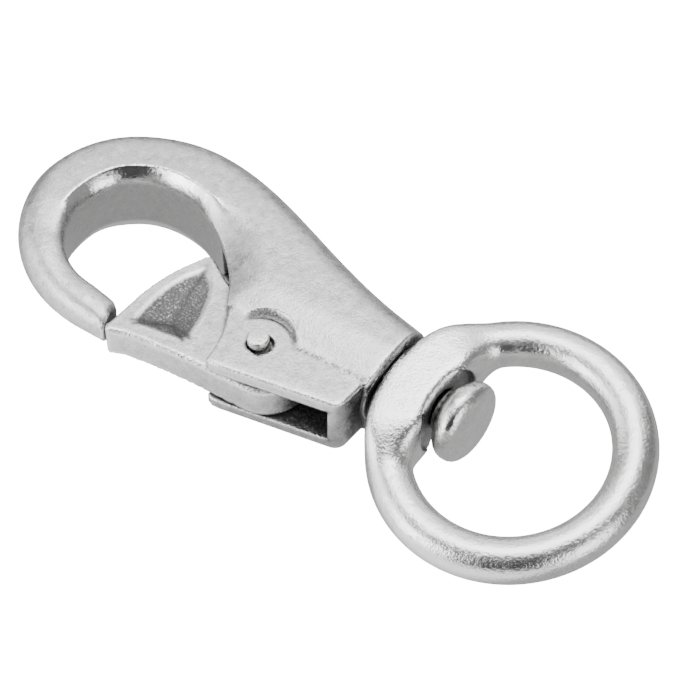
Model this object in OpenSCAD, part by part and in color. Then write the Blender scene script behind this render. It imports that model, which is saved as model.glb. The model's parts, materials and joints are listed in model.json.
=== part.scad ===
// Swivel snap hook: a cast hook with a forked shank, an inward-swinging gate
// on a spring and pin, and a ring eye that turns on a headed stud.
// Origin: on the resting plane, under the swivel axis, one shank length short of
// the casting's swivel end.
// +X runs along the swivel axis to the ring, +Z is up through the thickness.

/* [Casting] */
// Thickness of the casting across its crowned faces
body_t = 11.4; // [10:0.1:15]
// Distance from the origin to the swivel end of the casting
shank_len = 14.3; // [13:0.1:20]
// Distance from the swivel axis to the back edge at the swivel end
shank_back = 6.4; // [5.5:0.1:9]
// Distance from the swivel axis to the crease beside the cheeks
crease_y = 5.7; // [5:0.1:7]
// Width of the rounding along the back edge
back_round = 4.4; // [3:0.1:5]
// Rounding of the ends of the casting
end_round = 0.4; // [0.3:0.1:1.5]

/* [Hook eye] */
// Half length of the eye's round end
eye_rx = 8.8; // [8:0.1:12]
// Half width of the eye
eye_ry = 8.4; // [7:0.1:10.5]
// Fullness of the eye's corners, where 1 is an ellipse and less is fuller
eye_full = 0.89; // [0.8:0.01:1]
// Distance of the eye's centre from the origin, along the swivel axis
eye_dist = 23.2; // [21:0.1:27]
// Distance of the eye's centre from the swivel axis, to the gate side
eye_drop = 3.4; // [2:0.1:5]
// Width of the bar at the far end of the eye
bar_far = 8.8; // [7:0.1:10]
// Width of the bar on the back of the eye
bar_back = 9.7; // [8:0.1:12]
// Width of the bar on the gate side of the eye
bar_near = 5.1; // [4.5:0.1:7]
// Width of the bar at its tip
bar_tip = 4.7; // [4:0.1:6]

/* [Gate] */
// Thickness of the gate plate
gate_t = 4.5; // [3.5:0.1:6]
// Distance from the pin to the end face of the nose
nose_reach = 17.6; // [16:0.1:19]
// Distance the nose's corner stands to the gate side of the pin
nose_drop = 8.5; // [7:0.1:9.5]
// Distance from the pin to the point of the fin
fin_reach = 17.2; // [15:0.1:18]
// Radius of the hub lobe
hub_r = 5.1; // [4.4:0.1:5.4]
// Rounding of the gate's edges
gate_round = 0.45; // [0.2:0.05:0.7]
// Depth of the finger recess in each face
recess_depth = 1.5; // [0.6:0.1:1.6]
// Angle the gate opens
gate_swing = 28; // [20:1:30]

/* [Cheeks] */
// Thickness of each cheek
cheek_t = 1.68; // [1.4:0.01:2.5]
// Side play of the gate between the cheeks
gate_play = 0.3; // [0.15:0.01:0.5]
// Distance from the swivel axis to the front edge at the hub
cheek_front = 14.2; // [13.6:0.1:16]
// Distance from the swivel axis to the front edge at the swivel end
cheek_end = 10.9; // [10:0.1:13]
// Rounding of the cheeks' front corner at the swivel end
cheek_corner = 1.7; // [1:0.1:3]
// Rounding of the cheeks' outer edges
cheek_round = 0.55; // [0.3:0.05:0.8]
// Thickness of the wall between the slot and the swivel end
end_wall = 1.5; // [1.2:0.1:3]

/* [Gate pin] */
// Diameter of the gate pin
pin_d = 2.7; // [2:0.1:3]
// Distance from the origin to the gate pin, along the swivel axis
pin_x = 0.5; // [-0.5:0.1:1]
// Distance from the swivel axis to the gate pin
pin_drop = 8.3; // [7.8:0.1:9]
// Height of each pin end above its cheek
pin_proud = 1.05; // [0.3:0.05:1.1]
// Radial clearance of the pin in the gate and the cheeks
pin_clear = 0.05; // [0.02:0.01:0.1]
// Diameter of the relief around each pin end
relief_d = 3.5; // [3:0.1:4]
// Depth of the relief around each pin end
relief_depth = 1; // [0.3:0.1:1]
// Radius of the spot face round the pin
spot_r = 4.15; // [3.5:0.05:5]

/* [Gate spring] */
// Diameter of the spring wire
wire_d = 0.55; // [0.4:0.05:0.7]
// Mean diameter of the coils
coil_d = 3.9; // [3.6:0.1:4.4]
// Number of coils
coil_turns = 3; // [2:1:3]
// Length of the leg that bears on the casting
leg_len = 8; // [6:0.1:9]
// Length of the leg that bears on the gate
gate_leg = 5.6; // [4.5:0.1:6]

/* [Swivel ring] */
// Radius of the ring's centre line
ring_r = 14.45; // [13:0.05:20]
// Diameter of the ring's bar
ring_bar = 5.6; // [4.5:0.1:7]
// Height of the lug along the ring's own axis
lug_h = 8.5; // [8:0.1:11]
// Distance from the ring's centre to the lug's flat inner face
lug_inner = 9.9; // [9:0.1:11]
// Thickness of the lug along the swivel axis
lug_t = 6.95; // [6:0.05:9]
// Half angle of the lug about the ring's axis
lug_half_angle = 22; // [20:1:30]
// Radius of the lug's hollow inner side
lug_arc = 10.3; // [9:0.1:11]
// Rounding of the lug's edges
lug_round = 0.9; // [0.5:0.1:1.5]

/* [Swivel stud] */
// Diameter of the stud's shank in the lug
shank_d = 5; // [4:0.1:5.6]
// Diameter of the stud's tail in the casting
tail_d = 4; // [3:0.1:4.2]
// Length of the stud's tail in the casting
tail_len = 8; // [5:0.1:9]
// Diameter of the stud's head
head_d = 10.4; // [8:0.1:11]
// Length of the stud's head
head_len = 4.8; // [3:0.1:6]
// Radial clearance of the stud in the lug
stud_clear = 0.08; // [0.03:0.01:0.1]
// Room around the head in its seat on the lug
head_room = 0.3; // [0.2:0.05:0.6]
// End play of the lug between the collar and the head
swivel_play = 0.2; // [0.1:0.05:0.5]
// Half width of the collar that faces the lug
collar_rx = 6.3; // [5:0.1:6.5]
// Half height of the collar
collar_rz = 4.8; // [4:0.1:5.2]
// Height of the collar
collar_h = 0.55; // [0.2:0.05:0.8]

/* [Hidden] */
$fn = 64;
over = 1;

// the spot faces stop inside the cheeks, whose faces are their floors
spot_depth = 0.4;
mid = body_t / 2;
slot_h = gate_t + 2 * gate_play;
cheek_h = slot_h / 2 + cheek_t;
pin_at = [pin_x, -pin_drop];
eye_at = [-eye_dist, -eye_drop];
outer_shift = 0.9;
outer_rx = eye_rx + bar_far + outer_shift;
outer_ry = eye_ry + (bar_back + bar_near) / 2;
outer_at = eye_at + [outer_shift, (bar_back - bar_near) / 2];

nose_round = 1;
tip_clear = 0.2;
nose_corner = pin_at + [-nose_reach, -nose_drop];
nose_sweep = norm([nose_reach - nose_round, nose_drop - nose_round]) + nose_round;
tip_r = nose_sweep + tip_clear + 0.1;
fin_angle = 149.8;
fin_at = pin_at + fin_reach * [cos(fin_angle), sin(fin_angle)];
fin_round = 0.9;
fin_clear = 0.35;
hub_shift = 1.4;
hub_at = pin_at + [hub_shift, -0.2];
heel_y = -3.6;
heel_x = 5.4;
heel_gap = 0.05;
slot_back = heel_y + heel_gap;
slot_end = shank_len - end_wall;
spine_end = shank_len + 0.45;

collar_x = shank_len + collar_h;
lug_outer = collar_x + swivel_play / 2;
ring_at = [lug_outer + lug_t + lug_inner, 0, mid];
lug_far = lug_inner + lug_t;
ring_tilt = asin((mid - ring_bar / 2) / ring_r);
head_x = ring_at[0] - lug_inner + swivel_play / 2;

// ---- curves and lofts ----

function mix(a, b, t) = a + (b - a) * t;
function ease(t) = (1 - cos(180 * t)) / 2;
function bezier(p, t) =
    pow(1 - t, 3) * p[0] + 3 * pow(1 - t, 2) * t * p[1] + 3 * (1 - t) * t * t * p[2] + pow(t, 3) * p[3];
function arc(c, r, a0, a1, n) = [for (i = [0:n]) c + r * [cos(mix(a0, a1, i / n)), sin(mix(a0, a1, i / n))]];
// value that eases from one [key, value] pair to the next
function along(keys, x, i = 0) =
    x <= keys[0][0] ? keys[0][1]
    : i >= len(keys) - 1 ? keys[len(keys) - 1][1]
    : x <= keys[i + 1][0]
        ? mix(keys[i][1], keys[i + 1][1], ease((x - keys[i][0]) / (keys[i + 1][0] - keys[i][0])))
        : along(keys, x, i + 1);

// closed solid through rings of equally many points; its ends are fans from the
// heart, a point that sees every point of the end rings, or else single faces
module loft(rings, heart = undef) {
    n = len(rings[0]);
    m = len(rings);
    last = (m - 1) * n;
    whole = is_undef(heart);
    polyhedron(
        points = concat(
            [for (r = rings) for (p = r) p],
            whole ? [] : [for (r = [rings[0], rings[m - 1]]) [heart[0], heart[1], r[0][2]]]
        ),
        faces = concat(
            whole ? [[for (i = [0:n - 1]) i]] : [for (i = [0:n - 1]) [n * m, i, (i + 1) % n]],
            [for (j = [0:m - 2]) for (i = [0:n - 1])
                [j * n + i, (j + 1) * n + i, (j + 1) * n + (i + 1) % n]],
            [for (j = [0:m - 2]) for (i = [0:n - 1])
                [j * n + i, (j + 1) * n + (i + 1) % n, j * n + (i + 1) % n]],
            whole ? [[for (i = [n - 1:-1:0]) last + i]]
                : [for (i = [0:n - 1]) [n * m + 1, last + (i + 1) % n, last + i]]
        )
    );
}

// plate of a counter-clockwise outline with rounded edges, centred on z = 0; the heart
// sees the whole outline
function unit(v) = v / norm(v);
function inset(o, d) = [for (i = [0:len(o) - 1])
    let (
        n = len(o),
        u = unit(o[(i + 1) % n] - o[i]),
        v = unit(o[i] - o[(i + n - 1) % n]),
        w = unit(u + v),
        s = d / max(0.5, w * u)
    ) o[i] + s * [-w[1], w[0]]];
module rounded_plate(outline, heart, t, r, steps = 3) {
    down = [for (k = [0:steps]) let (a = 90 * k / steps) [r * (1 - sin(a)), -t / 2 + r * (1 - cos(a))]];
    up = [for (k = [steps:-1:0]) let (a = 90 * k / steps) [r * (1 - sin(a)), t / 2 - r * (1 - cos(a))]];
    loft([for (l = concat(down, up)) [for (p = inset(outline, l[0])) [p[0], p[1], l[1]]]], heart);
}

// ---- the casting ----

// One section of the casting from its inner point to its outer point: a flat wall
// to the eye, a blend up to the crown, and a round outer edge.
blend_steps = 6;
round_steps = 8;
function half_section(w, wall, crown, bi, bo, sharp, bevel) = concat(
    [[0, wall]],
    [for (k = [1:blend_steps]) let (t = k / blend_steps, a = 90 * t)
        [bi * mix(1 - cos(a), t, sharp), wall + (crown - wall) * mix(sin(a), t, bevel)]],
    [for (k = [0:round_steps - 1]) let (a = 90 - 90 * k / round_steps)
        [w - bo + bo * cos(a), crown * sin(a)]]
);
function section(i, o, wall, crown, bi, bo, sharp, bevel, trim) =
    let (
        w = norm(o - i) - 2 * trim,
        d = unit(o - i),
        h = half_section(w, max(0.3, wall - trim), max(0.6, crown - trim),
            min(bi, 0.48 * w), min(bo, 0.5 * w), sharp, bevel),
        n = len(h),
        pts = concat(h, [[w, 0]], [for (k = [n - 1:-1:0]) [h[k][0], -h[k][1]]])
    ) [for (p = pts) let (q = i + (trim + p[0]) * d) [q[0], q[1], mid + p[1]]];

// keys along the hook: 0 tip, 1 near side, 2 far end, 3 back, 4 shank's start, 5 swivel end
crown_keys = [[0, 2.45], [1, 2.8], [1.5, 3.7], [2, 4.9], [2.5, mid - 0.3], [3, mid]];
wall_keys = [[0, 0.8], [1, 1.3], [1.5, 2.1], [2, 2.7], [2.5, 3.1], [3, 3.45], [3.4, 3.75],
    [3.8, cheek_h], [4, cheek_h - 0.15]];
inner_keys = [[0, 2.3], [1, 2.4], [1.5, 2], [2, 1.5], [2.6, 1.2], [3.1, 1.4], [3.55, 5.8],
    [3.7, 6.5], [4, 5.6]];
outer_keys = [[0, 2.35], [1, 2.7], [1.5, 3.1], [2, 3.8], [3, back_round]];
sharp_keys = [[2.55, 0], [2.85, 1]];
bevel_keys = [[1.7, 0], [2.05, 1], [2.55, 1], [2.85, 0.25], [3.1, 0.25], [3.5, 0.5]];

function full(c) = sign(c) * pow(abs(c), eye_full);

tip_steps = 4;
eye_steps = 40;
wall_steps = 16;
lip_steps = 4;
shank_steps = 8;
wall_curve = [
    eye_at + [0, eye_ry],
    eye_at + [7.6, eye_ry],
    [-9.2, -1.1],
    [-6.4, -crease_y - 0.2]
];
lip_end = [-4.2, -crease_y - 0.45];
back_curve = [
    outer_at + [0.3, outer_ry],
    outer_at + [11.3, outer_ry],
    [0.2, shank_back + 1.4],
    [spine_end, shank_back]
];
wall_share = 0.56;
shank_share = 0.66;
tip_round = 0.7;
function on_tip(y) = [pin_at[0] - sqrt(tip_r * tip_r - pow(y - pin_at[1], 2)), y];
near_inner = eye_at + [0, -eye_ry];
near_outer = outer_at + [0, -outer_ry];
tip_inner = on_tip(near_inner[1] - (bar_near - bar_tip) / 2);
tip_outer = on_tip(tip_inner[1] - bar_tip);
tip_len = tip_inner[0] - near_inner[0];
hook_stations = concat(
    [for (k = [0:4]) let (a = 90 * k / 4, v = tip_round * (1 - cos(a)) / tip_len)
        [mix(tip_inner, near_inner, v), mix(tip_outer, near_outer, v), 0, tip_round * (1 - sin(a))]],
    [for (k = [1:tip_steps - 1]) let (v = mix(tip_round / tip_len, 1, k / tip_steps))
        [mix(tip_inner, near_inner, v), mix(tip_outer, near_outer, v), k / tip_steps, 0]],
    [for (k = [0:eye_steps]) let (a = -90 - 180 * k / eye_steps)
        [eye_at + [eye_rx * full(cos(a)), eye_ry * full(sin(a))],
         outer_at + [outer_rx * cos(a), outer_ry * sin(a)],
         1 + 2 * k / eye_steps, 0]],
    [for (k = [1:wall_steps]) let (t = k / wall_steps)
        [bezier(wall_curve, t), bezier(back_curve, wall_share * t), 3 + 0.8 * t, 0]],
    [for (k = [1:lip_steps]) let (t = k / lip_steps)
        [mix(wall_curve[3], lip_end, t), bezier(back_curve, mix(wall_share, shank_share, t)), 3.8 + 0.2 * t, 0]],
    [for (k = [1:shank_steps]) let (t = k / shank_steps, x = spine_end - end_round)
        [mix(lip_end, [x, -crease_y], t),
         bezier(back_curve, mix(shank_share, 0.975, t)), 4 + t, 0]],
    [for (k = [1:3]) let (a = 90 * k / 3, x = spine_end - end_round * (1 - sin(a)))
        [[x, -crease_y], [x, shank_back + 0.1 * (spine_end - x)], 5, end_round * (1 - cos(a))]]
);

module casting_bar() {
    loft([for (k = [len(hook_stations) - 1:-1:0]) let (s = hook_stations[k])
        section(s[0], s[1], along(wall_keys, s[2]), along(crown_keys, s[2]),
            along(inner_keys, s[2]), along(outer_keys, s[2]),
            along(sharp_keys, s[2]), along(bevel_keys, s[2]), s[3])]);
}

// outline of both cheeks, with the S-shaped edge that overlaps the gate
s_curve = [[-9.2, -1.6], [-4.6, -8], [-3.6, -9.6], [-2.9, -cheek_front + 0.2]];
front_slope = atan2(cheek_front - cheek_end, shank_len + 1.5);
corner_y = -cheek_end + cheek_corner * tan(45 + front_slope / 2) - 0.1;
cheek_outline = concat(
    [[-6, 1]],
    [for (k = [0:8]) bezier(s_curve, k / 8)],
    [[-2.2, -cheek_front - 0.05], [-1.2, -cheek_front + 0.05]],
    arc([shank_len - cheek_corner, corner_y], cheek_corner, front_slope - 90, 0, 6),
    [[shank_len, 0], [4, 3]]
);
module cheeks() {
    translate([0, 0, mid]) rounded_plate(cheek_outline, pin_at + [3, 2], 2 * cheek_h, cheek_round);
}

// space for the gate: its swing into the shank, its hub, and the open pocket behind the hub
open_turn = -(gate_swing + 1);
swing_r = fin_reach + fin_clear;
swing_start = fin_angle + open_turn - 4;
module slot() {
    translate([0, 0, mid - slot_h / 2]) linear_extrude(slot_h) {
        polygon(concat([pin_at], arc(pin_at, swing_r, swing_start, 215, 24)));
        translate(pin_at) rotate(open_turn) translate(-pin_at) polygon(inset(gate_outline, -0.25));
        translate(hub_at) circle(hub_r + fin_clear);
        polygon([[-4, -20], [slot_end, -20], [slot_end, slot_back], [-1, slot_back], [-4, -5]]);
    }
}

module pin_holes() {
    translate([pin_at[0], pin_at[1], -over]) cylinder(d = pin_d + 2 * pin_clear, h = body_t + 2 * over);
    for (side = [-1, 1])
        translate([pin_at[0] + (relief_d - pin_d) / 2 - 0.1, pin_at[1], mid + side * cheek_h])
            translate([0, 0, -relief_depth]) cylinder(d = relief_d, h = 2 * relief_depth);
}

module spot_faces() {
    for (side = [-1, 1])
        translate([pin_at[0] + 0.1, pin_at[1], mid + side * (cheek_h - spot_depth + 2)])
            cylinder(r = spot_r, h = 4, center = true);
}

module hook_body() {
    color([0.72, 0.72, 0.71]) difference() {
        union() {
            difference() {
                casting_bar();
                spot_faces();
            }
            cheeks();
            translate([shank_len - 2, 0, mid]) rotate([0, 90, 0])
                scale([collar_rz, collar_rx, 1]) cylinder(r = 1, h = 2 + collar_h);
        }
        slot();
        pin_holes();
        translate([shank_len - tail_len, 0, mid])
            rotate([0, 90, 0]) cylinder(d = tail_d, h = tail_len + collar_h + over);
    }
}

// ---- the gate ----

gate_front = [nose_corner, nose_corner + [4.6, 1.9], [-4, -14.1], hub_at + [0, -hub_r]];
gate_outline = concat(
    arc(nose_corner + [nose_round, nose_round], nose_round, 180, 260, 4),
    [for (k = [1:6]) bezier(gate_front, k / 6 * 0.999)],
    arc(hub_at, hub_r, -84, 20, 9),
    [[heel_x + 1.1, heel_y - 1.1], [heel_x + 0.6, heel_y - 0.35], [heel_x, heel_y], [0, heel_y]],
    [[-3.5, -4.1], [-7, -2.8], [-10.6, -1.35]],
    arc(fin_at + [0.3, -fin_round], fin_round, 65, 165, 5),
    [for (k = [1:6]) let (t = k / 6)
        bezier([fin_at + [-0.6, -0.9], [-16.4, -4], [-17, -6], pin_at + [-nose_reach, -2.4]], t)]
);
recess_rim = [
    [-13.4, -1.4], [-14.3, -3.0], [-14.9, -4.6], [-15.3, -7], [-15.35, -9.6], [-15.2, -12],
    [-14.9, -13.6], [-14.4, -13.9], [-8.0, -12.4], [-7.6, -11.6], [-8.6, -7.6], [-9.8, -4.8], [-10.9, -3.0], [-12, -1.9]
];
recess_apex = [-11.6, -10.4];
module recess() {
    n = len(recess_rim);
    polyhedron(
        points = concat(
            [for (p = recess_rim) [p[0], p[1], 0]],
            [for (p = recess_rim) [p[0], p[1], over]],
            [[recess_apex[0], recess_apex[1], -recess_depth]]
        ),
        faces = concat(
            [for (i = [0:n - 1]) [2 * n, i, (i + 1) % n]],
            [for (i = [0:n - 1]) [i, n + i, n + (i + 1) % n]],
            [for (i = [0:n - 1]) [i, n + (i + 1) % n, (i + 1) % n]],
            [[for (i = [n - 1:-1:0]) n + i]]
        )
    );
}

coil_h = (coil_turns + 1) * wire_d * 1.08;
pocket_h = coil_h + 0.3;
pocket_r = (coil_d + wire_d) / 2 + 0.35;
leg_slot = wire_d + 0.5;
leg_room = 0.1;
module gate() {
    color([0.7, 0.7, 0.69]) difference() {
        translate([0, 0, mid]) rounded_plate(gate_outline, pin_at + [-6.5, -0.7], gate_t, gate_round);
        translate([pin_at[0], pin_at[1], mid]) cylinder(d = pin_d + 2 * pin_clear, h = gate_t + 2, center = true);
        translate([0, 0, mid + gate_t / 2]) recess();
        mirror([0, 0, 1]) translate([0, 0, gate_t / 2 - mid]) recess();
        translate([pin_at[0], pin_at[1], mid]) cylinder(r = pocket_r, h = pocket_h, center = true);
        translate([0, pin_at[1] + 0.4, mid - pocket_h / 2]) cube([12, 8, pocket_h]);
        translate([pin_at[0] - gate_leg - leg_room, pin_at[1] + (coil_d - leg_slot) / 2, mid - pocket_h / 2])
            cube([gate_leg, leg_slot, pocket_h]);
    }
}

// ---- the pin and its spring ----

module gate_pin() {
    len_pin = 2 * (cheek_h + pin_proud);
    bevel = 0.3;
    color([0.8, 0.8, 0.79]) translate([pin_at[0], pin_at[1], mid - len_pin / 2])
        rotate_extrude() polygon([
            [0, 0], [pin_d / 2 - bevel, 0], [pin_d / 2, bevel],
            [pin_d / 2, len_pin - bevel], [pin_d / 2 - bevel, len_pin], [0, len_pin]
        ]);
}

coil_sides = 8;
coil_points = 16;
coil_pitch = wire_d * 1.08;
leg_rise = slot_back - pin_at[1] - (coil_d + wire_d) / 2 - leg_room;
leg_angle = asin(leg_rise / leg_len);
function spring_path() =
    let (
        turns = coil_turns - leg_angle / 360,
        points = round(coil_points * turns),
        low = -turns * coil_pitch / 2,
        r = coil_d / 2,
        end = 90 + leg_angle
    ) concat(
        [[-gate_leg, r, low]],
        [for (i = [0:points]) let (t = i / points, a = 90 - 360 * turns * t)
            [r * cos(a), r * sin(a), low + turns * coil_pitch * t]],
        [[r * cos(end) + leg_len * cos(leg_angle), r * sin(end) + leg_len * sin(leg_angle), -low]]
    );
function frame_ring(p, q, c) =
    let (d = unit(q - p), s = unit(cross(d, [0, 0, 1])), u = cross(s, d))
    [for (k = [0:coil_sides - 1]) let (a = 360 * k / coil_sides) c + wire_d / 2 * (s * cos(a) - u * sin(a))];
module gate_spring() {
    path = spring_path();
    n = len(path);
    color([0.55, 0.55, 0.56]) translate([pin_at[0], pin_at[1], mid])
        loft([for (i = [0:n - 1]) frame_ring(path[max(0, i - 1)], path[min(n - 1, i + 1)], path[i])]);
}

// ---- the swivel ----

// section of the lug at an angle from its middle: a box with rounded edges, which
// turns into the ring's round bar at both ends
lug_fade = 30;
lug_sink = 0.12;
corner_steps = 6;
function lug_ring(d) =
    let (
        f = 1 - ease(max(0, min(1, (abs(d) - lug_half_angle) / lug_fade))),
        r0 = mix(ring_r - ring_bar / 2 + lug_sink, lug_arc, f),
        r1 = ring_r + ring_bar / 2 - lug_sink,
        w = (r1 - r0) / 2,
        h = mix(ring_bar / 2 - lug_sink, lug_h / 2, f),
        c = mix(min(w, h) - 0.01, lug_round, f)
    ) [for (q = [0:3]) for (k = [0:corner_steps]) let (
            a = 90 * (q + k / corner_steps),
            r = (r0 + r1) / 2 + (w - c) * [1, -1, -1, 1][q] + c * cos(a)
        ) [r * cos(180 + d), r * sin(180 + d), (h - c) * [1, 1, -1, -1][q] + c * sin(a)]];
lug_span = lug_half_angle + lug_fade;
lug_steps = 26;
module swivel_eye() {
    color([0.78, 0.78, 0.77]) translate(ring_at) rotate([ring_tilt, 0, 0]) difference() {
        union() {
            rotate_extrude($fn = 96) translate([ring_r, 0]) circle(d = ring_bar);
            loft([for (k = [0:lug_steps]) lug_ring(mix(lug_span, -lug_span, k / lug_steps))]);
        }
        translate([-lug_far - 5, 0, 0]) rotate([0, 90, 0])
            cylinder(d = shank_d + 2 * stud_clear, h = lug_t + 10);
        translate([-lug_far - 5, 0, 0]) rotate([0, 90, 0]) cylinder(r = 8, h = 5);
        translate([-lug_inner, 0, 0]) rotate([0, 90, 0]) cylinder(r = head_d / 2 + head_room, h = 5);
    }
}

// the head's outline: [share of its length, share of its overhang]
head_profile = [
    [0, 0.1], [0.1, 0.2], [0.16, 0.34], [0.22, 0.51], [0.29, 0.69], [0.37, 0.84], [0.46, 0.94],
    [0.56, 0.99], [0.65, 1], [0.74, 0.98], [0.81, 0.93], [0.87, 0.84], [0.92, 0.71], [0.96, 0.53],
    [0.985, 0.3], [1, 0]
];
module swivel_stud() {
    tail_x = shank_len - tail_len + 0.1;
    color([0.8, 0.8, 0.79]) translate([0, 0, mid]) rotate([0, 90, 0]) rotate_extrude() polygon(concat(
        [[0, tail_x], [tail_d / 2 - 0.4, tail_x], [tail_d / 2, tail_x + 0.4], [tail_d / 2, collar_x]],
        [[shank_d / 2, collar_x], [shank_d / 2, head_x]],
        [for (p = head_profile) [shank_d / 2 + (head_d - shank_d) / 2 * p[1], head_x + head_len * p[0]]],
        [[0, head_x + head_len]]
    ));
}

hook_body();
gate();
gate_pin();
gate_spring();
swivel_eye();
swivel_stud();
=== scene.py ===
import json
import math

import bmesh
import bpy
import numpy as np
from bpy.props import FloatProperty, FloatVectorProperty, IntProperty, PointerProperty
from bpy.types import Operator, Panel, PropertyGroup
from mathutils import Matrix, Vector, kdtree
from mathutils.bvhtree import BVHTree

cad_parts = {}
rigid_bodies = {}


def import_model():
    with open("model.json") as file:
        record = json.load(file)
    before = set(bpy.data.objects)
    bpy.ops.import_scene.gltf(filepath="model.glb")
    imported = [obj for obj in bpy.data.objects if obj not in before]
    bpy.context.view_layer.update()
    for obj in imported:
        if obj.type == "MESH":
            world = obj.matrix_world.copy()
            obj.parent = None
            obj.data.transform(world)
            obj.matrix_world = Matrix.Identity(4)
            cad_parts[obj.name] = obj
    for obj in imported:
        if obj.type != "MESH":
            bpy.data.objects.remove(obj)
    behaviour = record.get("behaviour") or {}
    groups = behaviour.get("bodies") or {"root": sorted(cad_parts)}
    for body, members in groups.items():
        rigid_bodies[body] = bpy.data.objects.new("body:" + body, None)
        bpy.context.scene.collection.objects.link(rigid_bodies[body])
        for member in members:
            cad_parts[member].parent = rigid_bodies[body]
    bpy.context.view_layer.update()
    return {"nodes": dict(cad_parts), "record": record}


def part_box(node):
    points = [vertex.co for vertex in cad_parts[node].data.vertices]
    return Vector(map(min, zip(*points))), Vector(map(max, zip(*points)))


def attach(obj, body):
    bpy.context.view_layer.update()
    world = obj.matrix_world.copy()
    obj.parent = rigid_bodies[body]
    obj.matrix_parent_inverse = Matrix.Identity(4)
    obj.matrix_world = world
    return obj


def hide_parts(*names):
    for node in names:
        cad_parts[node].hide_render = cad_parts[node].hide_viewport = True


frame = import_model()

bl_info = {
    "name": "Swivel Snap Hook",
    "version": (1, 0, 0),
    "blender": (4, 5, 0),
    "location": "3D View > Sidebar > Snap Hook",
    "description": "Finishes a cast swivel snap hook and sets it on a studio floor",
    "category": "Object",
}

MM = 0.001
WELD = 0.002 * MM  # vertices nearer than this become one
FAR_AWAY = 9.0  # metres, further off than anything in the scene

# how the skins are evened out: the share of each step, the lean that marks an edge's corner,
# the share of a cell within which a vertex belongs to an edge, the rounds along edges, and
# how much the last smoothing rounds the edges
SETTLE_SHARE = 0.6
CORNER_LEAN = 0.3
EDGE_CATCH = 0.6
EDGE_ROUNDS = 12
SOFT_EDGE = 0.35

# the least angle, in degrees, between two CAD faces for the line between them to be an edge,
# and how often the gate's skin is evened out
CASTING_EDGE, GATE_EDGE, RING_EDGE, TURNED_EDGE, PIN_EDGE = 24, 14, 30, 32, 25
GATE_ROUNDS = 24

# how far the lighter-edge mark (wear and painted highlight) reaches from an edge, the painted shade from
# a corner and a seam, and how far a wall shades
RIDGE_REACH = 0.35 * MM
CORNER_REACH = 0.4 * MM
SEAM_REACH = 0.32 * MM
SHADE_REACH = 10 * MM
SHADE_LIFT = 0.08 * MM
SHADE_RAYS = 12

# the crescent groove beside each pin end: where the spot face's centre lies from the pin's,
# where the groove starts and stops round it, in degrees from +X towards +Y, and where its
# inner and outer slopes lie from it; how much wider it is at least, and how much more it
# gains between two directions; its rims' distances and widths; and the band of the spot
# face, above a height, whose level it is cut from
SPOT_OFFSET = 0.1 * MM
GROOVE_START = (20, 58)
GROOVE_STOP = (132, 158)
GROOVE_INNER = (3.75 * MM, 3.98 * MM)
GROOVE_OUTER = (4.2 * MM, 4.42 * MM)
GROOVE_WIDER = 0.12 * MM
GROOVE_GAIN = 0.38 * MM
GROOVE_SPREAD = (30, 100)
GROOVE_DEPTH = 0.16 * MM
INNER_RIM, INNER_RIM_WIDTH = 3.72 * MM, 0.12 * MM
OUTER_RIM, OUTER_RIM_WIDTH = 4.5 * MM, 0.14 * MM
SPOT_BAND = (2.6 * MM, 3.4 * MM)
SPOT_HEIGHT = 4 * MM

# the rough parting line from the spot face to the neck: its two ends in X and Y
PARTING_ENDS = ((4.6 * MM, -6.1 * MM), (14.0 * MM, -5.15 * MM))
PARTING_WIDTH = 0.28 * MM
PARTING_DEPTH = 0.09 * MM
PATCH_SEED = 7

# the polished bevel in the hook's eye: how far from the eye's centre it ends, and where it
# starts and stops round the eye, in degrees from +X towards +Y; how far a face has to turn
# towards the eye's centre; and the slopes, 0 upright and 1 level, at which the bevel starts
# and stops and the painted shade on the eye's wall below it ends
BEVEL_REACH = (11.5 * MM, 13.5 * MM)
BEVEL_START = (38, 62)
BEVEL_STOP = (186, 202)
EYE_FACING = (0.05, 0.25)
BEVEL_STEEP = (0.1, 0.3)
BEVEL_LEVEL = (0.94, 0.99)
WALL_STEEP = (0.12, 0.4)

# the gate's finger recess: how deep below the gate's face its floor starts, and its slope
RECESS_DEPTH = (0.08 * MM, 0.25 * MM)
RECESS_LEVEL = (0.45, 0.6)


# ---- selection and mesh helpers ----


def deselect_all():
    """Leaves nothing selected."""
    for other in bpy.context.view_layer.objects:
        other.select_set(False)


def make_active(piece):
    """Selects one piece alone and makes it the active one."""
    deselect_all()
    piece.select_set(True)
    bpy.context.view_layer.objects.active = piece


def apply_modifier(piece, kind, **settings):
    """Adds a modifier, sets it up and applies it."""
    make_active(piece)
    modifier = piece.modifiers.new(kind.title(), kind)
    for name, value in settings.items():
        setattr(modifier, name, value)
    bpy.ops.object.modifier_apply(modifier=modifier.name)


def merged_copy(node, name):
    """A copy of a CAD node's mesh with its loose triangles merged into one skin."""
    piece = frame["nodes"][node].copy()
    piece.data = frame["nodes"][node].data.copy()
    piece.name = piece.data.name = name
    for key in list(piece.keys()):
        del piece[key]
    piece.parent = None
    bpy.context.scene.collection.objects.link(piece)
    make_active(piece)
    bpy.ops.object.mode_set(mode="EDIT")
    bpy.ops.mesh.select_all(action="SELECT")
    bpy.ops.mesh.remove_doubles(threshold=WELD)
    bpy.ops.object.mode_set(mode="OBJECT")
    piece.data.materials.clear()
    return piece


def edit_edges(piece, wanted):
    """Opens edit mode with only the wanted edges selected."""
    make_active(piece)
    bpy.ops.object.mode_set(mode="EDIT")
    bpy.context.tool_settings.mesh_select_mode = (False, True, False)
    bpy.ops.mesh.select_all(action="DESELECT")
    mesh = bmesh.from_edit_mesh(piece.data)
    for edge in mesh.edges:
        if wanted(edge):
            edge.select_set(True)
    bmesh.update_edit_mesh(piece.data)


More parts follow.
